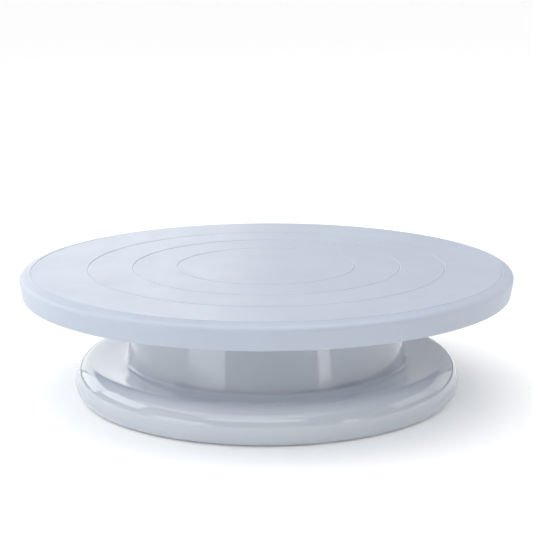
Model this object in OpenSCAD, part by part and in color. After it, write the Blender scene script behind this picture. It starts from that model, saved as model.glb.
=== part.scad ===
// Cake turntable: a round platter that turns on a ring of steel balls on a flared, hollow base.
// Millimetres. The origin is on the turning axis, level with the table. +Z is up.

/* [Whole turntable] */
// Height from the table to the platter's top face
total_h = 73; // [72:0.5:76]
// Wall thickness of the two mouldings
wall = 2.5; // [2:0.1:2.8]
// Thickness of the ribs in both mouldings
rib_t = 2; // [1.6:0.1:2.4]

/* [Platter] */
// Diameter of the platter at its widest
platter_d = 280; // [274:1:300]
// Thickness of the platter's top wall
plate_t = 3; // [2.6:0.1:3.2]
// Depth of the skirt, from the top face to its lower edge
skirt_h = 13.5; // [12:0.5:14]
// How far the skirt draws in towards its lower edge
skirt_taper = 1.4; // [1:0.1:2.6]
// Radius of the rounded edge above the skirt
edge_r = 3; // [2:0.1:3.5]
// Width of the sloping border round the flat top
border_w = 6; // [5:0.5:8]
// Drop of the sloping border
border_drop = 0.8; // [0.4:0.1:1]
// Number of radial ribs outside the ball track
platter_ribs = 12; // [12:6:24]
// Number of spokes between the hub and the ball track
platter_spokes = 6; // [3:3:6]

/* [Base] */
// Diameter of the foot at its widest
base_d = 221; // [214:1:226]
// Height of the foot's top face
foot_h = 21; // [20:0.5:24]
// Height at which the foot is widest
belly_h = 9; // [8:0.5:10]
// Width of the foot's rounded shoulder
shoulder_w = 9; // [8:0.5:10]
// Radius of the neck where it meets the foot
neck_foot_r = 80.8; // [80:0.2:82]
// Radius of the neck at its top
neck_top_r = 74.8; // [74:0.2:76]
// Number of ribs under the foot
foot_ribs = 12; // [12:12:24]
// Number of ribs under the deck
deck_ribs = 6; // [3:3:6]

/* [Bearing] */
// Diameter of a ball
ball_d = 6; // [5.6:0.1:6.2]
// Number of balls
ball_count = 16; // [8:1:24]
// Radius of the circle that the balls run on
track_r = 64; // [62:0.5:65]
// Gap between a ball and its tracks
track_gap = 0.05; // [0.03:0.01:0.08]
// Diameter of the spindle
spindle_d = 8; // [7:0.5:8]
// Gap between the spindle and its bush, on the radius
spindle_gap = 0.05; // [0.03:0.01:0.08]

/* [Rubber feet] */
// Number of rubber feet
pad_count = 6; // [3:1:6]
// Diameter of a rubber foot
pad_d = 12; // [10:0.5:13]
// Radius of the circle that the feet are on
pad_circle_r = 92.5; // [92:0.5:93]
// How far a foot stands out below the rim
pad_proud = 1.2; // [0.8:0.1:1.6]

/* [Hidden] */
$fn = 96;
eps = 0.01;
rib_start = 15;
pad_start = 30;

// Heights, from the table up
rim_z = pad_proud;
pad_seat_z = rim_z + 2;
pad_boss_z = rim_z + 0.2;
foot_rib_z = 4;
foot_dish_z = foot_h - 1.8;
deck_h = 10;
track_face_h = 7;
deck_z = total_h - deck_h;
track_face_z = total_h - track_face_h;
ball_z = (deck_z + track_face_z) / 2;
plate_z = total_h - plate_t;
skirt_z = total_h - skirt_h;
edge_z = total_h - border_drop - edge_r;

// Platter
platter_r = platter_d / 2;
border_r = platter_r - border_w;
edge_c = platter_r - edge_r;
skirt_low_r = platter_r - skirt_taper;
skirt_lip_r = 0.9;
skirt_in_low_r = skirt_low_r - 2.2;
skirt_in_top_r = skirt_in_low_r - 0.2;
track_half_w = 5;
platter_rib_z = plate_z - 5;
mid_ring_r = 104;
shroud_r = neck_top_r + 2.2;
shroud_z = skirt_z + 0.5;
hub_r = 12;
hub_z = track_face_z - 1.2;
spoke_z = track_face_z + 0.5;
guide_w = 1;
guide_depth = 0.3;
guide_radii = [50.8, 76.2, 101.6];

// Base
base_r = base_d / 2;
tuck_w = 6;
tuck_a = 65;
tuck_h = (belly_h - rim_z) / sin(tuck_a);
rim_out_r = base_r - tuck_w * (1 - cos(tuck_a));
rim_in_r = rim_out_r - 2.2;
neck_fillet = 3;
deck_edge_r = 1.5;
neck_slope = (neck_top_r - neck_foot_r) / (deck_z - foot_dish_z);
ceiling_z = foot_h - wall;
shoulder_in_w = 6.5;
neck_ring_r = neck_r(foot_dish_z) - wall;
hub_tube_r = 10;
hub_tube_z = deck_z - 21.5;
deck_rib_z = deck_z - 8.5;
track_back_z = deck_z - wall - 2;
boss_r = pad_d / 2 + 2;

// Spindle, bush and retaining stack
bush_r = spindle_d / 2 + 2;
bush_z = hub_tube_z - 1.5;
flange_r = bush_r + 3;
flange_t = 1.2;
spindle_r = spindle_d / 2;
spindle_head_r = spindle_r + 1;
spindle_head_z = hub_z + 0.2;
spindle_top_z = total_h - 1.8;
spindle_z = bush_z - 0.4;
washer_r = 9;
washer_t = 1.2;
washer_bore_r = 2.15;
washer_z = spindle_z - washer_t;
spring_r = 3.8;
spring_t = 1;
spring_z = washer_z - spring_t;
spring_split = 0.8;
screw_r = 2;
screw_len = 12;
screw_head_r = 4;
screw_head_h = 2.8;
screw_head_round = 1.2;
screw_head_z = spring_z - screw_head_h;
screw_recess_w = 1;
screw_recess_r = 2.2;
screw_recess_h = 1.6;
tap_depth = 14;

// Cage
cage_half_w = 5.5;
cage_t = 1.8;
pocket_gap = 0.15;

// Names of the repeated nodes
ball_names = [for (i = [1:ball_count]) str("ball_", i < 10 ? "0" : "", i)];
pad_names = [for (i = [1:pad_count]) str("rubber_foot_", i)];

// Radius of the neck's outer face at height z
function neck_r(z) = neck_foot_r + (z - foot_dish_z) * neck_slope;

// Points along an arc of an ellipse round (cx, cz), from angle a0 to a1
function arc(cx, cz, rx, rz, a0, a1, steps) = [
    for (i = [0:steps])
        let (a = a0 + (a1 - a0) * i / steps) [cx + rx * cos(a), cz + rz * sin(a)]
];

// Outer half-section of the platter, from the axis over the edge to the skirt's lower lip
function platter_outside() = concat(
    [[0, total_h], [border_r, total_h]],
    arc(edge_c, edge_z, edge_r, edge_r, 90, 0, 6),
    arc(skirt_low_r - skirt_lip_r, skirt_z + skirt_lip_r, skirt_lip_r, skirt_lip_r, 0, -90, 3)
);

// Outer half-section of the base, from the rim up over the foot and the neck to the deck
function base_outside() = concat(
    arc(base_r - tuck_w, belly_h, tuck_w, tuck_h, -tuck_a, 0, 5),
    arc(base_r - shoulder_w, belly_h, shoulder_w, foot_h - belly_h, 9, 90, 9),
    arc(neck_foot_r + neck_fillet, foot_dish_z + neck_fillet, neck_fillet, neck_fillet, 270, 180, 4),
    arc(neck_top_r - deck_edge_r, deck_z - deck_edge_r, deck_edge_r, deck_edge_r, 0, 90, 3),
    [[0, deck_z]]
);

// Inner half-section of the foot, from the neck ring out along the ceiling and down to the rim
function foot_inside(inset) = concat(
    [[neck_ring_r + rib_t, foot_dish_z - wall + inset]],
    arc(rim_in_r - shoulder_in_w, belly_h, shoulder_in_w + inset, ceiling_z - belly_h + inset, 90, 0, 6)
);

// Inner half-section of the base, from the deck's underside down the neck and out to the rim
function base_inside() = concat(
    [[0, deck_z - wall], [neck_r(deck_z - wall) - wall, deck_z - wall]],
    [[neck_ring_r, foot_dish_z], [neck_ring_r, foot_rib_z], [neck_ring_r + rib_t, foot_rib_z]],
    foot_inside(0),
    [[rim_in_r, rim_z]]
);

// A turned ring between two radii and two heights
module ring(inner_r, outer_r, low_z, high_z) {
    rotate_extrude() translate([inner_r, low_z]) square([outer_r - inner_r, high_z - low_z]);
}

// Copies spaced evenly round the axis, the first at angle start
module around(count, start = 0) {
    for (i = [0:count - 1]) rotate([0, 0, start + i * 360 / count]) children();
}

// An upright rib along +X whose side view is the given outline
module rib(outline) {
    translate([0, rib_t / 2, 0]) rotate([90, 0, 0]) linear_extrude(rib_t) polygon(outline);
}

// The groove that a ball track takes out of either moulding
module track_groove() {
    rotate_extrude() translate([track_r, ball_z]) circle(r = ball_d / 2 + track_gap);
}

// A shallow ring cut in the platter's top face
module guide_ring(r) {
    ring(r - guide_w / 2, r + guide_w / 2, total_h - guide_depth, total_h + 1);
}

// Ribs, track ring, shroud and hub on the platter's underside
module platter_underside() {
    low = platter_rib_z;
    high = plate_z + eps;
    track_out_r = track_r + track_half_w;
    ring(track_r - track_half_w, track_out_r, track_face_z, high);
    ring(shroud_r, shroud_r + rib_t, shroud_z, high);
    ring(mid_ring_r, mid_ring_r + rib_t, low, high);
    ring(0, hub_r, hub_z, high);
    around(platter_ribs, rib_start)
        rib([[track_out_r - 1, spoke_z], [shroud_r, low], [skirt_in_top_r + 1, low],
            [skirt_in_top_r + 1, high], [track_out_r - 1, high]]);
    around(platter_spokes, rib_start)
        rib([[hub_r - 1, spoke_z], [track_r - track_half_w + 1, spoke_z],
            [track_r - track_half_w + 1, high], [hub_r - 1, high]]);
}

// The platter: one moulding with its skirt, ribs, upper ball track and hub
module platter() {
    color("white")
    difference() {
        union() {
            rotate_extrude() polygon(concat(
                platter_outside(),
                [[skirt_in_low_r, skirt_z], [skirt_in_top_r, plate_z], [0, plate_z]]
            ));
            platter_underside();
        }
        track_groove();
        translate([0, 0, hub_z - 1]) cylinder(r = spindle_head_r, h = spindle_top_z - hub_z + 1);
        for (r = guide_radii) guide_ring(r);
        ring(border_r - guide_w, border_r, total_h - guide_depth, total_h + 1);
    }
}

// Ribs and bosses inside the foot
module foot_inside_parts() {
    around(foot_ribs, rib_start)
        rib(concat(
            [[neck_ring_r + 1, foot_rib_z], [neck_ring_r + 1, foot_dish_z - 1]],
            foot_inside(1),
            [[rim_in_r + 1, foot_rib_z]]
        ));
    around(pad_count, pad_start)
        translate([pad_circle_r, 0, pad_boss_z]) cylinder(r = boss_r, h = ceiling_z - pad_boss_z + 1);
}

// Ribs, track backing and hub tube under the deck
module deck_underside() {
    top = deck_z - 1;
    ring(track_r - track_half_w, track_r + track_half_w, track_back_z, top);
    translate([0, 0, hub_tube_z]) cylinder(r = hub_tube_r, h = top - hub_tube_z);
    around(deck_ribs, rib_start)
        rib([[hub_tube_r - 1, deck_rib_z], [neck_r(deck_rib_z) - 1, deck_rib_z],
            [neck_r(top) - 1.5, top], [hub_tube_r - 1, top]]);
}

// The base: one moulding with its foot, neck, deck, lower ball track, hub tube and foot bosses
module base_shell() {
    color("white")
    difference() {
        union() {
            rotate_extrude() polygon(concat(base_outside(), base_inside()));
            foot_inside_parts();
            deck_underside();
        }
        track_groove();
        translate([0, 0, hub_tube_z - 1]) cylinder(r = bush_r, h = deck_z - hub_tube_z + 2);
        around(pad_count, pad_start)
            translate([pad_circle_r, 0, pad_boss_z - 1]) cylinder(d = pad_d, h = pad_seat_z - pad_boss_z + 1);
    }
}

// The steel spindle: its wider head is pressed into the platter's hub
module spindle() {
    color("silver")
    difference() {
        rotate_extrude() polygon([
            [0, spindle_z], [spindle_r - 0.4, spindle_z], [spindle_r, spindle_z + 0.4],
            [spindle_r, spindle_head_z], [spindle_head_r, spindle_head_z],
            [spindle_head_r, spindle_top_z - 0.5], [spindle_head_r - 0.5, spindle_top_z], [0, spindle_top_z]
        ]);
        translate([0, 0, spindle_z - 1]) cylinder(r = screw_r, h = tap_depth + 1);
    }
}

// The flanged plastic bush that lines the base's hub tube
module spindle_bush() {
    color("ivory")
    difference() {
        union() {
            translate([0, 0, bush_z]) cylinder(r = bush_r, h = deck_z - bush_z + eps);
            translate([0, 0, deck_z]) cylinder(r = flange_r, h = flange_t);
        }
        translate([0, 0, bush_z - 1]) cylinder(r = spindle_r + spindle_gap, h = deck_z - bush_z + flange_t + 2);
    }
}

// The ring that keeps the balls apart
module ball_cage() {
    color("gainsboro")
    difference() {
        ring(track_r - cage_half_w, track_r + cage_half_w, ball_z - cage_t / 2, ball_z + cage_t / 2);
        around(ball_count)
            translate([track_r, 0, ball_z - cage_t]) cylinder(d = ball_d + 2 * pocket_gap, h = 2 * cage_t);
    }
}

// One steel ball in its place round the track
module ball(index) {
    color("silver")
    rotate([0, 0, index * 360 / ball_count]) translate([track_r, 0, ball_z]) sphere(d = ball_d);
}

// The flat washer that keeps the spindle in the bush
module retaining_washer() {
    color("silver") ring(washer_bore_r, washer_r, washer_z, washer_z + washer_t);
}

// The split spring washer under the screw's head
module spring_washer() {
    color("silver")
    difference() {
        ring(washer_bore_r, spring_r, spring_z, spring_z + spring_t);
        translate([0, -spring_split / 2, spring_z - 1]) cube([spring_r + 1, spring_split, spring_t + 2]);
    }
}

// The pan-head screw, driven up into the spindle's end
module retaining_screw() {
    color("silver")
    difference() {
        union() {
            rotate_extrude() polygon(concat(
                [[0, screw_head_z]],
                arc(screw_head_r - screw_head_round, screw_head_z + screw_head_round,
                    screw_head_round, screw_head_round, -90, 0, 4),
                [[screw_head_r, spring_z], [0, spring_z]]
            ));
            translate([0, 0, spring_z - eps]) cylinder(r = screw_r, h = screw_len + eps);
        }
        for (a = [0, 90]) rotate([0, 0, a])
            translate([-screw_recess_r, -screw_recess_w / 2, screw_head_z - 1])
                cube([2 * screw_recess_r, screw_recess_w, screw_recess_h + 1]);
    }
}

// One rubber foot, pressed into its boss, with a chamfered lower edge
module rubber_foot(index) {
    r = pad_d / 2;
    color("dimgray")
    rotate([0, 0, pad_start + index * 360 / pad_count]) translate([pad_circle_r, 0, 0])
        rotate_extrude() polygon([[0, 0], [r - 0.6, 0], [r, 0.6], [r, pad_seat_z], [0, pad_seat_z]]);
}

platter();
base_shell();
spindle();
spindle_bush();
ball_cage();
for (i = [0:ball_count - 1])
    ball(i);
retaining_washer();
spring_washer();
retaining_screw();
for (i = [0:pad_count - 1])
    rubber_foot(i);
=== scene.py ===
"""Looks of a cake turntable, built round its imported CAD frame.

The two mouldings are each one closed surface: a profile turned round the axis, with ribs, bosses
and marks worked into the grid of the surface, so that every edge and root has its real fillet. The
small parts are turned or swept the same way. Profiles are in millimetres, and pieces in metres.
"""

import math

import bmesh
import bpy
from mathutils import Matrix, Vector


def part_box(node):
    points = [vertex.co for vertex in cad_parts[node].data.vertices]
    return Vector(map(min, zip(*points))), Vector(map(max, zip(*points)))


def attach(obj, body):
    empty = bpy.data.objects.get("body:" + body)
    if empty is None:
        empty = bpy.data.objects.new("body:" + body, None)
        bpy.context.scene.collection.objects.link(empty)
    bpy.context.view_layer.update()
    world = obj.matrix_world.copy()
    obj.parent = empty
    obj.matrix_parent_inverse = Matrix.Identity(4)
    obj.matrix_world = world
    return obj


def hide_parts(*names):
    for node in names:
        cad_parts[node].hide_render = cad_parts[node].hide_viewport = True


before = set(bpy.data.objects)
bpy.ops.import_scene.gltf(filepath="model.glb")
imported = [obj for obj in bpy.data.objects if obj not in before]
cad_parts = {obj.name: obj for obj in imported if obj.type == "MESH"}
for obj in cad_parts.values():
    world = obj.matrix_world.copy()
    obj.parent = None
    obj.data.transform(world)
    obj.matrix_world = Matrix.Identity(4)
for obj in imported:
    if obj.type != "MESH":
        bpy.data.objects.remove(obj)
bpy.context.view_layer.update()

MM = 0.001
TAU = 2 * math.pi


def node_mm(node):
    """A CAD node's lowest and highest corners, in millimetres."""
    low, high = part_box(node)
    return low / MM, high / MM


# ---------------------------------------------------------------- sizes, from the frame
platter_low, platter_high = node_mm("platter")
base_low, base_high = node_mm("base_shell")
cage_low, cage_high = node_mm("ball_cage")
ball_low, ball_high = node_mm("ball_01")
spindle_low, spindle_high = node_mm("spindle")
bush_low, bush_high = node_mm("spindle_bush")
washer_low, washer_high = node_mm("retaining_washer")
spring_low, spring_high = node_mm("spring_washer")
screw_low, screw_high = node_mm("retaining_screw")
pad_low, pad_high = node_mm("rubber_foot_1")

TOP_Z = platter_high.z
SKIRT_Z = platter_low.z
PLATTER_R = platter_high.x
RIM_Z = base_low.z
DECK_Z = base_high.z
BASE_R = base_high.x
BALL_Z = (ball_low.z + ball_high.z) / 2
BALL_R = (ball_high.z - ball_low.z) / 2
CAGE_HALF_W = 5.5
TRACK_R = cage_high.x - CAGE_HALF_W
PAD_R = (pad_high.x - pad_low.x) / 2
PAD_SEAT_Z = pad_high.z
PAD_CIRCLE_R = math.hypot((pad_low.x + pad_high.x) / 2, (pad_low.y + pad_high.y) / 2)

# Ribs, the same in both mouldings: half their thickness at tip and root, then the rounding of tips
# and the fillet of roots, which the mouldings' rings and corners share
RIBS = 12
RIB_START = math.radians(15)
RIB_HALF = 0.9
RIB_ROOT = 1.05
TIP_R = 0.3
ROOT_R = 0.8

# The grid of each sector between two ribs: a block in its middle, where round details go, and the
# strips beside it
BLOCK_HALF = math.radians(6.2)
BLOCK_STEPS = 12
SIDE_STEPS = 4

# The lower lip of skirt and rim, half the track's raised band, and the clearances of the balls
LIP_W = 2.2
TRACK_HALF = 5
TRACK_GAP = 0.05
CAGE_PLAY = 0.15

MARK_DEPTH = 0.2
ON_AXIS = 1e-6


# ---------------------------------------------------------------- profiles
def arc(cx, cz, rx, rz, start, end, steps):
    """Points along an arc of an ellipse, in degrees."""
    points = []
    for i in range(steps + 1):
        a = math.radians(start + (end - start) * i / steps)
        points.append((cx + rx * math.cos(a), cz + rz * math.sin(a)))
    return points


def rounded(corners, step=22):
    """A polyline through (r, z) or (r, z, radius) corners, with an arc where there is a radius and
    no more than so many degrees to a step."""
    points = []
    for i, corner in enumerate(corners):
        here = Vector(corner[:2])
        radius = corner[2] if len(corner) > 2 else 0
        if not radius or i == 0 or i == len(corners) - 1:
            points.append(tuple(here))
            continue
        back = Vector(corners[i - 1][:2]) - here
        ahead = Vector(corners[i + 1][:2]) - here
        reach = min(back.length, ahead.length) * 0.49
        back.normalize()
        ahead.normalize()
        half = back.angle(ahead) / 2
        trim = min(radius / math.tan(half), reach)
        radius = trim * math.tan(half)
        middle = here + (back + ahead).normalized() * (radius / math.sin(half))
        first, last = here + back * trim - middle, here + ahead * trim - middle
        turn = first.angle_signed(last)
        steps = max(2, math.ceil(abs(math.degrees(turn)) / step))
        for k in range(steps + 1):
            a = -turn * k / steps
            ray = Vector((first.x * math.cos(a) - first.y * math.sin(a),
                          first.x * math.sin(a) + first.y * math.cos(a)))
            points.append(tuple(middle + ray))
    return points


def track(low_side, z):
    """The ball track's section where it opens on the flat face at height z, running inwards."""
    r = BALL_R + TRACK_GAP
    rise = math.degrees(math.asin((z - BALL_Z) / r))
    half_turn = -180 if low_side else 180
    return arc(TRACK_R, BALL_Z, r, r, rise, half_turn - rise, 14)


# ---------------------------------------------------------------- meshes
def piece(name, bm, material, body, nodes):
    """Turns a bmesh in millimetres into a piece that rides on a body and stands for CAD nodes."""
    bmesh.ops.delete(bm, geom=[v for v in bm.verts if not v.link_faces], context="VERTS")
    bmesh.ops.remove_doubles(bm, verts=bm.verts, dist=1e-4)
    bmesh.ops.scale(bm, vec=(MM, MM, MM), verts=bm.verts)
    bmesh.ops.recalc_face_normals(bm, faces=bm.faces)
    mesh = bpy.data.meshes.new(name)
    bm.to_mesh(mesh)
    bm.free()
    mesh.polygons.foreach_set("use_smooth", [True] * len(mesh.polygons))
    obj = bpy.data.objects.new(name, mesh)
    bpy.context.scene.collection.objects.link(obj)
    even = obj.modifiers.new("even_normals", "WEIGHTED_NORMAL")
    even.weight = 60
    even.keep_sharp = True
    mesh.materials.append(material)
    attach(obj, body)
    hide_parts(*nodes)
    return obj


def quad(bm, *ring):
    """Adds a face round four vertices, or a triangle where two of them are the same."""
    corners = list(dict.fromkeys(ring))
    if len(corners) > 2:
        bm.faces.new(corners)


def turned(bm, profile, steps, centre=(0, 0)):
    """Adds a profile turned round an upright axis. A profile that starts and ends on the axis is
    capped there, and any other is closed back to its start."""
    closed = profile[0][0] > ON_AXIS
    rows = []
    for r, z in profile:
        count = 1 if r < ON_AXIS else steps
        row = []
        for j in range(count):
            a = TAU * j / count
            row.append(bm.verts.new((centre[0] + r * math.cos(a), centre[1] + r * math.sin(a), z)))
        rows.append(row)
    pairs = list(zip(rows, rows[1:] + rows[:1])) if closed else list(zip(rows, rows[1:]))
    for low, high in pairs:
        for j in range(steps):
            k = (j + 1) % steps
            quad(bm, low[j % len(low)], low[k % len(low)], high[k % len(high)], high[j % len(high)])


def rib_offsets():
    """How far from a rib's middle plane the surface's grid lines run, on one side of it."""
    tip = [RIB_HALF - TIP_R * share for share in (1, 0.45, 0.12, 0)]
    root = [RIB_ROOT + ROOT_R * share for share in (0, 0.1, 0.32, 0.62, 1)]
    return tip + root


def rib_depth(offset, height):
    """How far a rib of that height stands off the surface, so far from its middle plane."""
    if height <= 0 or offset >= RIB_ROOT + ROOT_R:
        return 0.0
    share = min(1.0, height / (ROOT_R + TIP_R))
    foot = share * ROOT_R
    shoulder = height - share * TIP_R
    if offset > RIB_ROOT:
        q = (RIB_ROOT + ROOT_R - offset) / ROOT_R
        return foot * (1 - math.sqrt(max(0.0, 1 - q * q)))
    if offset > RIB_HALF:
        t = (RIB_ROOT - offset) / (RIB_ROOT - RIB_HALF)
        return foot + (shoulder - foot) * t
    if offset > RIB_HALF - TIP_R:
        q = 1 - (RIB_HALF - offset) / TIP_R
        return shoulder + (height - shoulder) * math.sqrt(max(0.0, 1 - q * q))
    return height


def sector_lines(r, clamp_r):
    """The grid lines of one sector at radius r, as (angle from its middle, distance from the rib).
    Inside clamp_r they run straight to the axis."""
    offsets = rib_offsets()
    r = max(r, clamp_r)
    half = math.pi / RIBS
    edge = half - math.asin(offsets[-1] / r)
    block = min(BLOCK_HALF, 0.6 * edge)
    side = [(half - math.asin(d / r), d) for d in offsets]
    for i in range(1, SIDE_STEPS + 1):
        side.append((edge + (block - edge) * i / SIDE_STEPS, math.inf))
    left = [(-half, 0.0)] + [(-a, d) for a, d in side]
    middle = [(-block + 2 * block * i / BLOCK_STEPS, math.inf) for i in range(1, BLOCK_STEPS)]
    return left + middle + side[::-1]


def moulding(bm, rows, rib_foot, clamp_r, features):
    """Adds one closed moulding. rows are the (r, z) points of its section, in order. rib_foot(i, r,
    rib) gives the height that a rib reaches down to from row i, or None. features are the round
    details: their rows, radius and sectors, their own section, and the surface they stand on."""
    side = len(rib_offsets()) + SIDE_STEPS
    per_sector = 1 + side + (BLOCK_STEPS - 1) + side
    columns = per_sector * RIBS
    verts = []
    for i, (r, z) in enumerate(rows):
        if r < ON_AXIS:
            verts.append([bm.verts.new((0, 0, z))] * columns)
            continue
        row = []
        lines = sector_lines(r, clamp_r)
        for sector in range(RIBS):
            middle = RIB_START + (sector + 0.5) * TAU / RIBS
            for k, (offset, distance) in enumerate(lines):
                rib = sector if k <= per_sector // 2 else sector + 1
                reach = rib_foot(i, r, rib % RIBS)
                drop = 0.0 if reach is None else rib_depth(distance, z - reach)
                a = middle + offset
                row.append(bm.verts.new((r * math.cos(a), r * math.sin(a), z - drop)))
        verts.append(row)
    holes = set()
    for feature in features:
        for sector in feature["sectors"]:
            first = sector * per_sector + side
            holes.update((i, j) for i in range(*feature["rows"])
                         for j in range(first, first + BLOCK_STEPS))
            inset(bm, verts, feature, first, sector)
    closed = rows[0][0] > ON_AXIS
    spans = len(rows) if closed else len(rows) - 1
    for i in range(spans):
        low, high = verts[i], verts[(i + 1) % len(rows)]
        for j in range(columns):
            if (i, j) in holes:
                continue
            k = (j + 1) % columns
            quad(bm, low[j], low[k], high[k], high[j])


def inset(bm, verts, feature, first, sector):
    """Fills one hole left in a moulding's grid with rings that close in on a round detail, then
    turns the detail's own section round its centre. A point of the section is (radius, depth from
    the surface, None) or (radius, unused, height)."""
    top, bottom = feature["rows"]
    loop = [verts[top][first + k] for k in range(BLOCK_STEPS)]
    loop += [verts[i][first + BLOCK_STEPS] for i in range(top, bottom)]
    loop += [verts[bottom][first + BLOCK_STEPS - k] for k in range(BLOCK_STEPS)]
    loop += [verts[i][first] for i in range(bottom, top, -1)]
    a = RIB_START + (sector + 0.5) * TAU / RIBS
    centre = Vector((feature["r"] * math.cos(a), feature["r"] * math.sin(a)))
    surface = feature["surface"]
    rays = [(Vector(v.co.xy) - centre).normalized() for v in loop]
    rings = [loop]
    outer = feature["section"][0][0]
    for t in (0.3, 0.6, 0.85):
        ring = []
        for v, ray in zip(loop, rays):
            at = Vector(v.co.xy).lerp(centre + ray * outer, t)
            ring.append(bm.verts.new((at.x, at.y, surface(at.length))))
        rings.append(ring)
    for radius, depth, z in feature["section"]:
        if radius < ON_AXIS:
            rings.append([bm.verts.new((centre.x, centre.y, z))] * len(loop))
            continue
        ring = []
        for ray in rays:
            at = centre + ray * radius
            height = surface(at.length) + depth if z is None else z
            ring.append(bm.verts.new((at.x, at.y, height)))
        rings.append(ring)
    for near, far in zip(rings, rings[1:]):
        for j in range(len(loop)):
            k = (j + 1) % len(loop)
            quad(bm, near[j], near[k], far[k], far[j])


def pin_mark(floor_z):
    """The section of a shallow round mark that an ejector pin leaves."""
    return [
        (2.9, 0, None), (2.75, 0.08, None), (2.6, MARK_DEPTH, None), (1.2, MARK_DEPTH, None),
        (0, 0, floor_z + MARK_DEPTH),
    ]


def height_on(rows):
    """A function that gives the height of the surface at a radius, read off its section."""
    points = sorted(rows)

    def height(r):
        for (r0, z0), (r1, z1) in zip(points, points[1:]):
            if r0 <= r <= r1:
                return z0 + (z1 - z0) * (r - r0) / max(r1 - r0, 1e-9)
        return points[0][1] if r < points[0][0] else points[-1][1]

    return height


def rows_between(rows, outer, inner):
    """The first and last row of the stretch running inwards that just spans the two radii."""
    first = max(i for i, (r, z) in enumerate(rows) if r >= outer)
    last = min(i for i, (r, z) in enumerate(rows) if r <= inner and i > first)
    return first, last


# ---------------------------------------------------------------- materials
def shader(name, **inputs):
    """A material with its Principled shader's constant inputs set."""
    material = bpy.data.materials.new(name)
    material.use_nodes = True
    nodes = material.node_tree.nodes
    bsdf = nodes.get("Principled BSDF")
    for key, value in inputs.items():
        bsdf.inputs[key.replace("_", " ")].default_value = value
    return material, bsdf


def noise(material, scale, detail=2.0, roughness=0.5):
    """A noise texture over the object's own coordinates, with its scale in cells a metre."""
    nodes, links = material.node_tree.nodes, material.node_tree.links
    place = nodes.new("ShaderNodeTexCoord")
    texture = nodes.new("ShaderNodeTexNoise")
    texture.inputs["Scale"].default_value = scale
    texture.inputs["Detail"].default_value = detail
    texture.inputs["Roughness"].default_value = roughness
    links.new(place.outputs["Object"], texture.inputs["Vector"])
    return texture.outputs["Fac"]


def ramp(material, source, low, high, to_low, to_high):
    """Maps a 0 to 1 value onto a range, clamped."""
    nodes, links = material.node_tree.nodes, material.node_tree.links
    spread = nodes.new("ShaderNodeMapRange")
    spread.inputs["From Min"].default_value = low
    spread.inputs["From Max"].default_value = high
    spread.inputs["To Min"].default_value = to_low
    spread.inputs["To Max"].default_value = to_high
    links.new(source, spread.inputs["Value"])
    return spread.outputs["Result"]


def two_tone(material, bsdf, source, dark, light):
    """Runs the base colour from one tone to another with a 0 to 1 value."""
    nodes, links = material.node_tree.nodes, material.node_tree.links
    mix = nodes.new("ShaderNodeMix")
    mix.data_type = "RGBA"
    mix.inputs["A"].default_value = (*dark, 1)
    mix.inputs["B"].default_value = (*light, 1)
    links.new(source, mix.inputs["Factor"])
    links.new(mix.outputs["Result"], bsdf.inputs["Base Color"])


def bump(material, bsdf, layers):
    """Chains bumps, each (height source, distance in metres), into the shader's normal."""
    nodes, links = material.node_tree.nodes, material.node_tree.links
    last = None
    for source, distance in layers:
        node = nodes.new("ShaderNodeBump")
        node.inputs["Distance"].default_value = distance
        node.inputs["Strength"].default_value = 1.0
        links.new(source, node.inputs["Height"])
        if last:
            links.new(last, node.inputs["Normal"])
        last = node.outputs["Normal"]
    links.new(last, bsdf.inputs["Normal"])


def moulded_plastic(name, dark, light, rough, grain, wave, ior=1.49):
    """Injection-moulded plastic: faint flow clouds in the colour, uneven gloss and a fine skin."""
    material, bsdf = shader(name, IOR=ior)
    links = material.node_tree.links
    two_tone(material, bsdf, ramp(material, noise(material, 14, 3), 0.35, 0.65, 0, 1), dark, light)
    gloss = ramp(material, noise(material, 60, 4, 0.6), 0.3, 0.7, *rough)
    links.new(gloss, bsdf.inputs["Roughness"])
    bump(material, bsdf, [
        (noise(material, 22, 1), wave),
        (noise(material, 1400, 2), grain),
    ])
    return material


PLATTER_TONES = (0.425, 0.475, 0.56), (0.45, 0.5, 0.585)
BASE_TONES = (0.555, 0.595, 0.65), (0.585, 0.625, 0.68)
BUSH_TONES = (0.60, 0.56, 0.47), (0.66, 0.62, 0.53)
CAGE_TONES = (0.62, 0.62, 0.60), (0.68, 0.68, 0.66)
platter_plastic = moulded_plastic("satin_white", *PLATTER_TONES, rough=(0.34, 0.44),
                                  grain=0.000006, wave=0.00008)
base_plastic = moulded_plastic("gloss_white", *BASE_TONES, rough=(0.05, 0.1),
                               grain=0.000002, wave=0.00015, ior=1.57)
bush_plastic = moulded_plastic("acetal", *BUSH_TONES, rough=(0.35, 0.45),
                               grain=0.00001, wave=0.00002)
cage_plastic = moulded_plastic("nylon", *CAGE_TONES, rough=(0.4, 0.5),
                               grain=0.00001, wave=0.00002)


def metal(name, dark, light, rough, grain):
    """Bare or plated steel: a slightly uneven colour and gloss, with fine tool marks."""
    material, bsdf = shader(name, Metallic=1.0)
    links = material.node_tree.links
    two_tone(material, bsdf, ramp(material, noise(material, 180, 3), 0.3, 0.7, 0, 1), dark, light)
    gloss = ramp(material, noise(material, 700, 3, 0.6), 0.3, 0.7, *rough)
    links.new(gloss, bsdf.inputs["Roughness"])
    bump(material, bsdf, [(noise(material, 2600, 2), grain)])
    return material


ball_steel = metal("polished_steel", (0.60, 0.60, 0.61), (0.68, 0.68, 0.69),
                   rough=(0.04, 0.09), grain=0.0000005)
turned_steel = metal("turned_steel", (0.46, 0.46, 0.47), (0.55, 0.55, 0.56),
                     rough=(0.22, 0.36), grain=0.000004)
zinc_steel = metal("zinc_plate", (0.56, 0.58, 0.60), (0.66, 0.67, 0.68),
                   rough=(0.2, 0.34), grain=0.000004)


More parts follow.
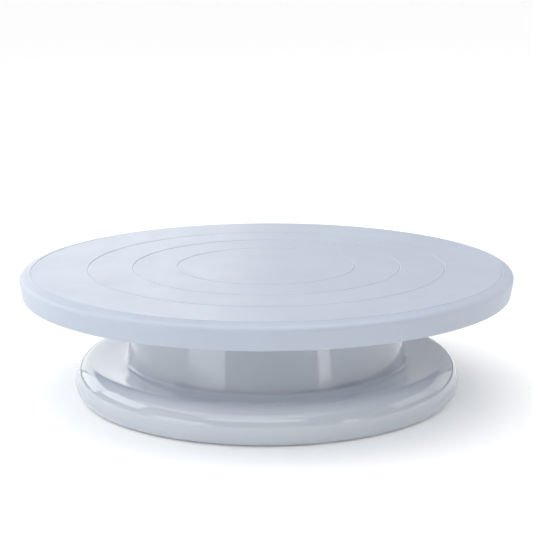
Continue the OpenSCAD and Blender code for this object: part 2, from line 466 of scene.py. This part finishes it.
def rubber():
    """Moulded rubber: near black, matt, with a fine pitted skin and a little dust."""
    material, bsdf = shader("foot_rubber")
    links = material.node_tree.links
    two_tone(material, bsdf, ramp(material, noise(material, 500, 4, 0.7), 0.4, 0.75, 0, 1),
             (0.018, 0.018, 0.019), (0.045, 0.045, 0.046))
    gloss = ramp(material, noise(material, 900, 3), 0.3, 0.7, 0.62, 0.8)
    links.new(gloss, bsdf.inputs["Roughness"])
    bump(material, bsdf, [(noise(material, 2200, 3), 0.00004)])
    return material


foot_rubber = rubber()

# ---------------------------------------------------------------- platter
# Edge and skirt, from the outside in
EDGE_R = 3
BORDER_R = PLATTER_R - 6
BORDER_DROP = 0.8
EDGE_Z = TOP_Z - BORDER_DROP - EDGE_R
SKIRT_LOW_R = PLATTER_R - 1.4
SKIRT_LIP_R = 0.9
SKIRT_LEAN = 9
SKIRT_IN_R = SKIRT_LOW_R - LIP_W

# Underside: the plate, and how far the track's band, rings, ribs and hub hang below it
PLATE_Z = TOP_Z - 3
TRACK_FACE_Z = TOP_Z - 7
MID_RING_R = 104
SHROUD_R = 77
SHROUD_Z = SKIRT_Z + 0.5
PLATTER_RIB_Z = PLATE_Z - 5
SPOKE_Z = TRACK_FACE_Z + 0.5
HUB_R = 12
HUB_Z = TRACK_FACE_Z - 1.2
HUB_BORE_Z = TOP_Z - 1.8
SPINDLE_HEAD_R = 5
MARK_R = 120
INNER_LOOP_R = 36

# Grooves in the top: the guides are 4, 6 and 8 inches across
GUIDE_RADII = (50.8, 76.2, 101.6)
GROOVE_W = 1.0
GROOVE_DEPTH = 0.3


def top_groove(r):
    """The corners of a shallow groove in the top face, round radius r."""
    low = TOP_Z - GROOVE_DEPTH
    half = GROOVE_W / 2
    floor = half * 0.6
    return [
        (r - half, TOP_Z, 0.12), (r - floor, low, 0.1),
        (r + floor, low, 0.1), (r + half, TOP_Z, 0.12),
    ]


def platter_rows():
    """The platter's section, from the middle of its top round its edge and back to the axis."""
    face = [(0, TOP_Z), (3, TOP_Z), (25, TOP_Z)]
    for r in GUIDE_RADII:
        face += top_groove(r)
    face += [(MARK_R - 2, TOP_Z)]
    face += top_groove(BORDER_R - GROOVE_W / 2)
    centre = PLATTER_R - EDGE_R
    edge = arc(centre, EDGE_Z, EDGE_R, EDGE_R, 75, 0, 7)
    edge += arc(centre, EDGE_Z, EDGE_R, EDGE_R, -SKIRT_LEAN / 2, -SKIRT_LEAN, 1)
    lip = arc(SKIRT_LOW_R - SKIRT_LIP_R, SKIRT_Z + SKIRT_LIP_R, SKIRT_LIP_R, SKIRT_LIP_R,
              -SKIRT_LEAN, -90, 5)
    outside = rounded(face + edge[:1])[:-1] + edge + lip
    track_out, track_in = TRACK_R + TRACK_HALF, TRACK_R - TRACK_HALF
    underside = rounded([
        lip[-1], (SKIRT_IN_R, SKIRT_Z, 0.35), (SKIRT_IN_R - 0.25, PLATE_Z, 1.2),
        (MARK_R + 8, PLATE_Z), (MARK_R - 8, PLATE_Z),
        (MID_RING_R + 2.1, PLATE_Z, ROOT_R), (MID_RING_R + 1.9, PLATTER_RIB_Z, TIP_R),
        (MID_RING_R + 0.1, PLATTER_RIB_Z, TIP_R), (MID_RING_R - 0.1, PLATE_Z, ROOT_R),
        (SHROUD_R + 2.3, PLATE_Z, ROOT_R), (SHROUD_R + 2, SHROUD_Z, TIP_R),
        (SHROUD_R, SHROUD_Z, TIP_R), (SHROUD_R - 0.25, PLATE_Z, ROOT_R),
        (track_out + 0.1, PLATE_Z, ROOT_R), (track_out, TRACK_FACE_Z, 0.25),
        (TRACK_R, TRACK_FACE_Z),
    ])[1:-1]
    middle = rounded([
        (TRACK_R, TRACK_FACE_Z), (track_in, TRACK_FACE_Z, 0.25),
        (track_in - 0.1, PLATE_Z, ROOT_R), (INNER_LOOP_R, PLATE_Z),
        (HUB_R + 0.25, PLATE_Z, ROOT_R), (HUB_R, HUB_Z, 0.4), (SPINDLE_HEAD_R, HUB_Z, 0.3),
        (SPINDLE_HEAD_R, HUB_BORE_Z), (0, HUB_BORE_Z),
    ])[1:]
    return outside + underside + track(False, TRACK_FACE_Z) + middle


def build_platter():
    """The platter: skirt, ribs outside the track, spokes inside it, rings, hub and pin marks."""
    rows = platter_rows()
    under = next(i for i, (r, z) in enumerate(rows) if z < SKIRT_Z + 0.01)
    outer_edge = TRACK_R + TRACK_HALF + 0.05

    def rib_foot(i, r, rib):
        if i <= under or not HUB_R < r < SKIRT_IN_R:
            return None
        if r > outer_edge:
            share = min(1.0, (r - outer_edge) / (SHROUD_R - outer_edge))
            return SPOKE_Z + (PLATTER_RIB_Z - SPOKE_Z) * share
        if r < TRACK_R - TRACK_HALF and rib % 2 == 0:
            return SPOKE_Z
        return None

    first, last = rows_between(rows[under:], MARK_R + 7, MARK_R - 7)
    bm = bmesh.new()
    moulding(bm, rows, rib_foot, HUB_R, [
        {"rows": (first + under, last + under), "r": MARK_R, "sectors": range(RIBS),
         "section": pin_mark(PLATE_Z), "surface": lambda r: PLATE_Z},
    ])
    return piece("platter_moulding", bm, platter_plastic, "turning_platter",
                 ["platter"])


# ---------------------------------------------------------------- base
# Foot: its widest height, how it tucks in below that and rounds over above, and its dished top
BELLY_Z = 9
TUCK_W = 6
TUCK_A = 65
SHOULDER_W = 9
INNER_SHOULDER_W = 6.2
RIM_DRAFT = 0.3
FOOT_Z = 21
DISH_Z = FOOT_Z - 1.8

# Neck and wall
NECK_FOOT_R = 80.8
NECK_TOP_R = 74.8
NECK_FILLET = 3
WALL = 2.5

# Underside: rim, ribs, the back of the track, hub tube, bush seat and the rubber feet's bosses
RIM_OUT_R = BASE_R - TUCK_W * (1 - math.cos(math.radians(TUCK_A)))
RIM_IN_R = RIM_OUT_R - LIP_W
FOOT_RIB_Z = 4
DECK_RIB_Z = DECK_Z - 8.5
TRACK_BACK_Z = DECK_Z - WALL - 2
HUB_TUBE_R = 10
HUB_TUBE_Z = DECK_Z - 21.5
BUSH_R = 6
BOSS_R = PAD_R + 2


def neck_r(z):
    """The radius of the neck's outer face at height z."""
    return NECK_FOOT_R + (z - DISH_Z) * (NECK_TOP_R - NECK_FOOT_R) / (DECK_Z - DISH_Z)


def eased(t):
    """A smooth step from 0 to 1."""
    return t * t * (3 - 2 * t)


def dish(outer_r, inner_r, outer_z, inner_z, steps):
    """The foot's nearly flat top or ceiling, dipping smoothly towards the neck."""
    points = []
    for i in range(1, steps + 1):
        t = i / steps
        points.append((outer_r + (inner_r - outer_r) * t, outer_z + (inner_z - outer_z) * eased(t)))
    return points


def base_rows():
    """The base's section: up its outside to the deck, then down its inside and back to the rim."""
    neck_out, neck_in = neck_r(DISH_Z), neck_r(DISH_Z) - WALL
    track_out, track_in = TRACK_R + TRACK_HALF, TRACK_R - TRACK_HALF
    ceiling_z, dish_ceiling_z, deck_ceiling_z = FOOT_Z - WALL, DISH_Z - WALL, DECK_Z - WALL

    tuck_h = (BELLY_Z - RIM_Z) / math.sin(math.radians(TUCK_A))
    belly = arc(BASE_R - TUCK_W, BELLY_Z, TUCK_W, tuck_h, 8 - TUCK_A, -6, 6)
    shoulder = arc(BASE_R - SHOULDER_W, BELLY_Z, SHOULDER_W, FOOT_Z - BELLY_Z, 0, 90, 20)
    top = dish(BASE_R - SHOULDER_W, neck_out + NECK_FILLET + 1, FOOT_Z, DISH_Z, 6)
    rim_out = rounded([(RIM_OUT_R - 0.8, RIM_Z), (RIM_OUT_R, RIM_Z, 0.35), belly[0]])[1:-1]
    neck = rounded([
        top[-1], (neck_out, DISH_Z, NECK_FILLET), (neck_r(42), 42), (NECK_TOP_R, DECK_Z, 1.5),
        (track_out, DECK_Z), (TRACK_R, DECK_Z),
    ], 15)[1:-1]
    outside = rim_out + belly + shoulder + top + neck

    inside = rounded([
        (TRACK_R, DECK_Z), (track_in, DECK_Z), (35, DECK_Z), (HUB_TUBE_R, DECK_Z),
        (BUSH_R, DECK_Z, 0.2), (BUSH_R, HUB_TUBE_Z, 0.2), (HUB_TUBE_R, HUB_TUBE_Z, 0.5),
        (HUB_TUBE_R + 0.3, deck_ceiling_z, 1.0), (INNER_LOOP_R, deck_ceiling_z),
        (track_in - 0.1, deck_ceiling_z, ROOT_R), (track_in, TRACK_BACK_Z, 0.4),
        (track_out, TRACK_BACK_Z, 0.4), (track_out + 0.1, deck_ceiling_z, 0.5),
        (neck_r(deck_ceiling_z) - WALL, deck_ceiling_z, 1.0),
        (neck_r(DECK_RIB_Z) - WALL, DECK_RIB_Z), (neck_in, DISH_Z),
        (neck_in + 0.1, FOOT_RIB_Z, 0.4), (neck_in + 2, FOOT_RIB_Z, 0.4),
        (neck_in + 2.3, dish_ceiling_z, ROOT_R), (neck_out + 2, dish_ceiling_z),
    ])[1:-1]

    centre = RIM_IN_R - RIM_DRAFT - INNER_SHOULDER_W
    ceiling = dish(centre, neck_out + 2, ceiling_z, dish_ceiling_z, 5)[::-1]
    inner_shoulder = arc(centre, BELLY_Z, INNER_SHOULDER_W, ceiling_z - BELLY_Z, 90, 0, 12)
    steps = 4
    down = [(RIM_IN_R - RIM_DRAFT * (1 - k / steps), BELLY_Z - (BELLY_Z - FOOT_RIB_Z) * k / steps)
            for k in range(1, steps)]
    rim_in = rounded([
        inner_shoulder[-1], (RIM_IN_R, RIM_Z, 0.35), (RIM_OUT_R - 0.8, RIM_Z),
    ])[1:]
    return outside + track(True, DECK_Z) + inside + ceiling + inner_shoulder + down + rim_in


def build_base():
    """The base: foot with ribs and bosses, neck, deck with its track, hub tube and pin marks."""
    rows = base_rows()
    under = max(i for i, (r, z) in enumerate(rows) if abs(r - BUSH_R) < 0.01 and z > HUB_TUBE_Z)
    ring_out = neck_r(DISH_Z) - WALL + 2

    def rib_foot(i, r, rib):
        if i <= under:
            return None
        if ring_out - 0.3 < r < RIM_IN_R:
            return FOOT_RIB_Z
        if HUB_TUBE_R < r < ring_out - 2 and rib % 2 == 0:
            return DECK_RIB_Z
        return None

    inside = [i for i, (r, z) in enumerate(rows) if i > under and z > RIM_Z + 1]
    first = max(i for i in inside
                if rows[i][0] <= PAD_CIRCLE_R - 9.2 and rows[i][1] > DISH_Z - WALL - 0.5)
    last = min(i for i in inside if rows[i][0] >= BASE_R - 8.4)
    surface = height_on(rows[first:last + 1])
    low = RIM_Z + 0.2
    boss = [
        (BOSS_R + 0.9, 0, None), (BOSS_R + 0.62, -0.1, None), (BOSS_R + 0.35, -0.35, None),
        (BOSS_R + 0.2, -0.9, None), (BOSS_R, 0, low + 0.4), (BOSS_R - 0.12, 0, low + 0.12),
        (BOSS_R - 0.4, 0, low), (PAD_R + 0.3, 0, low), (PAD_R + 0.06, 0, low + 0.1),
        (PAD_R, 0, low + 0.3), (PAD_R, 0, PAD_SEAT_Z), (PAD_R / 2, 0, PAD_SEAT_Z),
        (0, 0, PAD_SEAT_Z),
    ]
    bm = bmesh.new()
    moulding(bm, rows, rib_foot, HUB_TUBE_R, [
        {"rows": (first, last), "r": PAD_CIRCLE_R, "sectors": range(0, RIBS, 2),
         "section": boss, "surface": surface},
        {"rows": (first, last), "r": PAD_CIRCLE_R, "sectors": range(1, RIBS, 2),
         "section": pin_mark(surface(PAD_CIRCLE_R)), "surface": surface},
    ])
    return piece("base_moulding", bm, base_plastic, "base", ["base_shell"])


build_platter()
build_base()


# ---------------------------------------------------------------- small parts
SPINDLE_R = 4
SPINDLE_HOLE_DEPTH = 14
BUSH_GAP = 0.05
SHANK_R = 2
WASHER_BORE_R = 2.15
CAGE_EDGE = 0.25
CELL_STEPS = 8


def build_spindle():
    """The steel pin: a headed shank with a blind hole for the screw."""
    low, high = spindle_low.z, spindle_high.z
    r, head, step_z = SPINDLE_R, SPINDLE_HEAD_R, HUB_Z + 0.2
    outside = rounded([
        (SHANK_R, low, 0.1), (r, low, 0.5), (r, step_z, 0.1), (head, step_z, 0.2),
        (head, high, 0.5), (0, high),
    ])
    hole_z = low + SPINDLE_HOLE_DEPTH
    bm = bmesh.new()
    turned(bm, outside[::-1] + [(SHANK_R, hole_z), (0, hole_z)], 64)
    return piece("spindle_pin", bm, turned_steel, "turning_platter", ["spindle"])


def build_bush():
    """The flanged sleeve in which the spindle runs."""
    low, high = bush_low.z, bush_high.z
    bore, flange_r = SPINDLE_R + BUSH_GAP, BUSH_R + 3
    bm = bmesh.new()
    turned(bm, rounded([
        (bore + 0.6, low), (BUSH_R, low, 0.4), (BUSH_R, DECK_Z), (flange_r, DECK_Z, 0.2),
        (flange_r, high, 0.3), (bore, high, 0.4), (bore, low, 0.4), (bore + 0.5, low),
    ]), 72)
    return piece("bush_sleeve", bm, bush_plastic, "base", ["spindle_bush"])


def cell_outline(middle, half, inner, outer):
    """The outline of one ball's share of the cage: along its inner side, out, back and in."""
    loop = []
    for k in range(4 * CELL_STEPS):
        side, t = divmod(k, CELL_STEPS)
        t /= CELL_STEPS
        a = middle + half * (-1 + 2 * t, 1, 1 - 2 * t, -1)[side]
        r = (inner, inner + (outer - inner) * t, outer, outer - (outer - inner) * t)[side]
        loop.append(Vector((r * math.cos(a), r * math.sin(a))))
    return loop


def cage_wall(bm, at, way):
    """Points up the cage's rounded edge at one place. way is 1 for its outer edge, -1 for inner."""
    low, high, edge = cage_low.z, cage_high.z, CAGE_EDGE
    ray = at.normalized() * way * edge
    section = ((0, low), (0.7, low + edge * 0.3), (1, low + edge),
               (1, high - edge), (0.7, high - edge * 0.3), (0, high))
    return [bm.verts.new((*(at + ray * out), z)) for out, z in section]


def ring_round(bm, centre, rays, r, z):
    """A ring of vertices at distance r from a centre, one along each ray."""
    return [bm.verts.new((*(centre + ray * r), z)) for ray in rays]


def build_cage(balls):
    """The flat ring with a round pocket for each ball, and rounded edges all round."""
    inner, outer = TRACK_R - CAGE_HALF_W + CAGE_EDGE, TRACK_R + CAGE_HALF_W - CAGE_EDGE
    pocket, edge = BALL_R + CAGE_PLAY, CAGE_EDGE
    bm = bmesh.new()
    for b in range(balls):
        middle = TAU * b / balls
        centre = Vector((TRACK_R * math.cos(middle), TRACK_R * math.sin(middle)))
        loop = cell_outline(middle, math.pi / balls, inner, outer)
        rays = [(p - centre).normalized() for p in loop]
        rim = [centre + ray * (pocket + edge) for ray in rays]
        faces = []
        for z, way in ((cage_low.z, 1), (cage_high.z, -1)):
            rings = [[bm.verts.new((*p.lerp(q, t), z)) for p, q in zip(loop, rim)]
                     for t in (0, 0.5, 1)]
            rings.append(ring_round(bm, centre, rays, pocket + edge * 0.3, z + way * edge * 0.3))
            rings.append(ring_round(bm, centre, rays, pocket, z + way * edge))
            faces.append(rings)
        across = faces[0] + faces[1][::-1]
        for near, far in zip(across, across[1:]):
            for j in range(len(loop)):
                k = (j + 1) % len(loop)
                bm.faces.new((near[j], near[k], far[k], far[j]))
        for way, start in ((-1, 0), (1, 2 * CELL_STEPS)):
            for k in range(start, start + CELL_STEPS):
                near = cage_wall(bm, loop[k], way)
                far = cage_wall(bm, loop[(k + 1) % len(loop)], way)
                for m in range(len(near) - 1):
                    bm.faces.new((near[m], far[m], far[m + 1], near[m + 1]))
    return piece("cage_ring", bm, cage_plastic, "ball_ring", ["ball_cage"])


def build_ball(name):
    """A bearing ball."""
    low, high = node_mm(name)
    centre = (low + high) / 2
    bm = bmesh.new()
    bmesh.ops.create_icosphere(bm, subdivisions=4, radius=BALL_R)
    bmesh.ops.translate(bm, vec=centre, verts=bm.verts)
    return piece(f"{name}_steel", bm, ball_steel, "ball_ring", [name])


def build_washer():
    """A stamped washer, rounder on one side than on the other."""
    bore, r = WASHER_BORE_R, washer_high.x
    low, high = washer_low.z, washer_high.z
    bm = bmesh.new()
    turned(bm, rounded([
        (bore + 1, low), (r, low, 0.35), (r, high, 0.12), (bore, high, 0.12), (bore, low, 0.2),
        (bore + 0.9, low),
    ]), 72)
    return piece("washer_plain", bm, zinc_steel, "turning_platter",
                 ["retaining_washer"])


def build_spring_washer():
    """A square-section ring with a slanted split."""
    bore, r = WASHER_BORE_R, spring_high.x
    low, high = spring_low.z, spring_high.z
    section = rounded([
        (bore + 0.5, low), (r, low, 0.15), (r, high, 0.15), (bore, high, 0.15), (bore, low, 0.15),
        (bore + 0.4, low),
    ])
    steps = 48
    gap, slant = math.radians(13), math.radians(16)
    bm = bmesh.new()
    rings = []
    for i in range(steps + 1):
        ring = []
        for x, z in section:
            lean = slant * ((z - low) / (high - low) - 0.5)
            a = gap / 2 + lean + (TAU - gap) * i / steps
            ring.append(bm.verts.new((x * math.cos(a), x * math.sin(a), z)))
        rings.append(ring)
    for near, far in zip(rings, rings[1:]):
        for j in range(len(section)):
            k = (j + 1) % len(section)
            bm.faces.new((near[j], near[k], far[k], far[j]))
    bm.faces.new(rings[0])
    bm.faces.new(rings[-1])
    return piece("washer_spring", bm, zinc_steel, "turning_platter",
                 ["spring_washer"])


def recess_cutter(mouth_z, floor_z):
    """A tapered cross that cuts the screw's recess: wide at its mouth and narrow at its floor."""
    bm = bmesh.new()
    for crosswise in (False, True):
        for v in bmesh.ops.create_cube(bm, size=1)["verts"]:
            deep = v.co.z > 0
            reach, half = (1.2, 0.32) if deep else (2.2, 0.5)
            x, y = math.copysign(reach, v.co.x), math.copysign(half, v.co.y)
            v.co = Vector((x, y, floor_z if deep else mouth_z)) * MM
            if crosswise:
                v.co = Vector((-v.co.y, v.co.x, v.co.z))
    mesh = bpy.data.meshes.new("recess_cutter")
    bm.to_mesh(mesh)
    bm.free()
    tool = bpy.data.objects.new("recess_cutter", mesh)
    bpy.context.scene.collection.objects.link(tool)
    return tool


def build_screw():
    """The pan-head screw: a domed head with a tapered cross recess, and a plain shank."""
    head_r = screw_high.x
    low, under = screw_low.z, spring_low.z
    bm = bmesh.new()
    turned(bm, [(0, low)] + rounded([
        (1.5, low), (head_r - 0.9, low + 0.15, 1.5), (head_r, low + 1.4, 1.2),
        (head_r, under, 0.15), (SHANK_R, under), (SHANK_R, screw_high.z, 0.5), (0, screw_high.z),
    ]), 64)
    head = piece("screw_pan_head", bm, zinc_steel, "turning_platter",
                 ["retaining_screw"])
    tool = recess_cutter(low - 0.4, low + 1.7)
    cut = head.modifiers.new("recess", "BOOLEAN")
    cut.operation = "DIFFERENCE"
    cut.solver = "EXACT"
    cut.use_self = True
    cut.object = tool
    even = head.modifiers["even_normals"]
    even.show_viewport = False
    depsgraph = bpy.context.evaluated_depsgraph_get()
    cut_mesh = bpy.data.meshes.new_from_object(head.evaluated_get(depsgraph))
    head.modifiers.remove(cut)
    even.show_viewport = True
    head.data = cut_mesh
    bpy.data.objects.remove(tool)
    return head


def build_pad(name):
    """A rubber foot: a disc with a soft edge and two shallow grip rings in its face."""
    low, high = node_mm(name)
    centre = ((low.x + high.x) / 2, (low.y + high.y) / 2)
    r = (high.x - low.x) / 2
    ring_z = low.z + 0.25
    section = [
        (0, ring_z), (1.4, ring_z, 0.2), (1.7, low.z, 0.15), (2.6, low.z, 0.15),
        (2.9, ring_z, 0.1), (3.3, ring_z, 0.1), (3.6, low.z, 0.15), (r - 0.1, low.z, 0.7),
        (r, high.z, 0.15), (0, high.z),
    ]
    bm = bmesh.new()
    turned(bm, rounded(section), 48, centre)
    return piece(f"{name}_rubber", bm, foot_rubber, "base", [name])


ball_nodes = sorted(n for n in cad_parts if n.startswith("ball_") and n != "ball_cage")
pad_nodes = sorted(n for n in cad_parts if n.startswith("rubber_foot_"))
build_spindle()
build_bush()
build_cage(len(ball_nodes))
build_washer()
build_spring_washer()
build_screw()
for node in ball_nodes:
    build_ball(node)
for node in pad_nodes:
    build_pad(node)


# ---------------------------------------------------------------- stage, light and camera
def build_floor():
    """A wide sheet of white paper."""
    mesh = bpy.data.meshes.new("floor")
    size = 20
    corners = [(-size, -size, 0), (size, -size, 0), (size, size, 0), (-size, size, 0)]
    mesh.from_pydata(corners, [], [(0, 1, 2, 3)])
    floor = bpy.data.objects.new("floor", mesh)
    bpy.context.scene.collection.objects.link(floor)
    material, bsdf = shader("paper_white", Roughness=0.9)
    two_tone(material, bsdf, noise(material, 3), (0.975, 0.975, 0.975), (0.985, 0.985, 0.985))
    mesh.materials.append(material)


def sun(name, energy, angle, way):
    """A distant light that shines the given way, from a disc that is angle degrees across."""
    light = bpy.data.lights.new(name, "SUN")
    light.energy = energy
    light.angle = math.radians(angle)
    obj = bpy.data.objects.new(name, light)
    obj.rotation_euler = Vector(way).to_track_quat("-Z", "Y").to_euler()
    bpy.context.scene.collection.objects.link(obj)
    return obj


def softbox(name, azimuth, elevation, distance, width, height, glow, colour):
    """A rectangular area light aimed at the object, that glows with the given radiance and is
    itself out of sight. Azimuth 0 is the camera's side, and positive is to the right."""
    target = Vector((0, 0, TOP_Z * MM / 2))
    a, e = math.radians(azimuth), math.radians(elevation)
    way = Vector((math.sin(a) * math.cos(e), -math.cos(a) * math.cos(e), math.sin(e)))
    light = bpy.data.lights.new(name, "AREA")
    light.shape = "RECTANGLE"
    light.size, light.size_y = width, height
    light.energy = glow * math.pi * width * height
    light.color = colour
    obj = bpy.data.objects.new(name, light)
    obj.location = target + way * distance
    obj.rotation_euler = (-way).to_track_quat("-Z", "Y").to_euler()
    obj.visible_camera = False
    bpy.context.scene.collection.objects.link(obj)


def build_lights():
    """A broad overhead light that whitens the paper evenly, a weak fill that softens the shade
    under the platter, softboxes all round, low strips that the glossy neck reflects as bands, and a
    white backdrop that gives no light."""
    world = bpy.data.worlds.new("studio")
    world.use_nodes = True
    backdrop = world.node_tree.nodes["Background"]
    backdrop.inputs["Color"].default_value = (0.96, 0.97, 0.98, 1)
    backdrop.inputs["Strength"].default_value = 1
    world.cycles_visibility.diffuse = False
    world.cycles_visibility.glossy = False
    bpy.context.scene.world = world
    sun("overhead", 2.85, 94, (0.1, 0.1, -1))
    fill = sun("fill", 0.5, 20, (0, 0, -1))
    fill.data.use_shadow = False
    fill.visible_glossy = False
    white, warm, cool = (1, 1, 1), (1.0, 0.98, 0.97), (0.95, 0.98, 1.0)
    for side, azimuth, elevation, distance, width, height, glow, colour in (
        ("front", -8, 27, 1.5, 1.5, 0.34, 2.4, white),
        ("left", -48, 2.2, 0.75, 0.41, 0.125, 2.3, cool),
        ("right", 44.5, 2.2, 0.75, 0.13, 0.125, 2.6, warm),
        ("far_left", -95, 22, 1.3, 0.8, 0.45, 3.2, cool),
        ("far_right", 95, 20, 1.5, 0.9, 0.5, 1.3, warm),
        ("back_left", -130, 15, 2.0, 1.0, 0.8, 2.4, cool),
        ("back_right", 130, 15, 2.0, 1.0, 0.8, 1.2, (0.97, 0.98, 1.0)),
        ("behind_left", -163, 14, 2.2, 1.25, 0.9, 1.8, white),
        ("behind_right", 163, 14, 2.2, 1.25, 0.9, 0.6, white),
    ):
        softbox(f"softbox_{side}", azimuth, elevation, distance, width, height, glow, colour)


def build_camera():
    """A long lens in front of the turntable, looking slightly down past its top."""
    elevation, distance, roll = math.radians(14.35), 0.85, math.radians(0.22)
    aim_up = math.radians(2.37)
    target = Vector((0, 0, 0.0362))
    data = bpy.data.cameras.new("camera")
    data.sensor_width = 36
    data.lens = 99.2
    data.clip_start = 0.05
    data.dof.use_dof = False
    camera = bpy.data.objects.new("camera", data)
    camera.location = target + Vector((0, -math.cos(elevation), math.sin(elevation))) * distance
    camera.rotation_euler = (math.pi / 2 - elevation + aim_up, 0, 0)
    camera.rotation_euler.rotate_axis("Z", -roll)
    bpy.context.scene.collection.objects.link(camera)
    bpy.context.scene.camera = camera


build_floor()
build_lights()
build_camera()
bpy.context.scene.view_settings.view_transform = "Standard"
